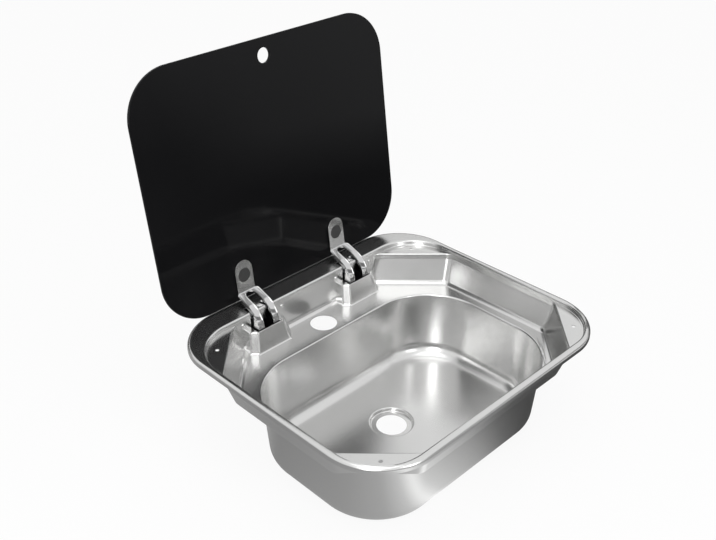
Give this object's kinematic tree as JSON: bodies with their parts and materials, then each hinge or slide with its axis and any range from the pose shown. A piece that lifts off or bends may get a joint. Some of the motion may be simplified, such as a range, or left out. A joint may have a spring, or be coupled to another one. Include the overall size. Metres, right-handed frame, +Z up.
{
  "type": "rv sink with glass lid",
  "caption": "Drop-in steel camper sink with a stepped pan, a deep rounded bowl, a drain seat, a tap hole and a black glass lid that folds back on goose-neck hinges.",
  "frame": {"origin": "centre of the four corner screw holes, on the worktop surface that the rim's lip and the corner shelves lie on", "axes": "+X along the sink's width, +Y towards the hinges at the rear, +Z up out of the worktop"},
  "size_m": [0.42, 0.4103, 0.4658],
  "materials": {
    "sink_steel": "satin drawn stainless steel",
    "black_glass": "opaque black toughened glass, polished",
    "hinge_chrome": "bright nickel-chrome on pressed steel",
    "bond_rubber": "dark bonding pad",
    "bracket_steel": "plain folded steel",
    "liner_plastic": "black moulded plastic",
    "pin_steel": "bright turned steel",
    "bush_nylon": "natural nylon"
  },
  "bodies": {
    "sink": {"sink_shell": "sink_steel", "hinge_bracket_left": "bracket_steel", "hinge_bracket_right": "bracket_steel", "pocket_liner_left": "liner_plastic", "pocket_liner_right": "liner_plastic", "hinge_pin_left": "pin_steel", "hinge_pin_right": "pin_steel", "pin_clips": "pin_steel", "hinge_rivets": "pin_steel"},
    "lid": {"glass_lid": "black_glass", "hinge_arm_left": "hinge_chrome", "hinge_arm_right": "hinge_chrome", "bond_pad_left": "bond_rubber", "bond_pad_right": "bond_rubber", "pivot_bushes_left": "bush_nylon", "pivot_bushes_right": "bush_nylon"}
  },
  "joints": [
    {"name": "lid_hinge", "type": "hinge", "parent": "sink", "child": "lid", "pos_m": [0, 0.1772, -0.00945], "axis": [1, 0, 0], "range_deg": [0, 97.6]}
  ]
}
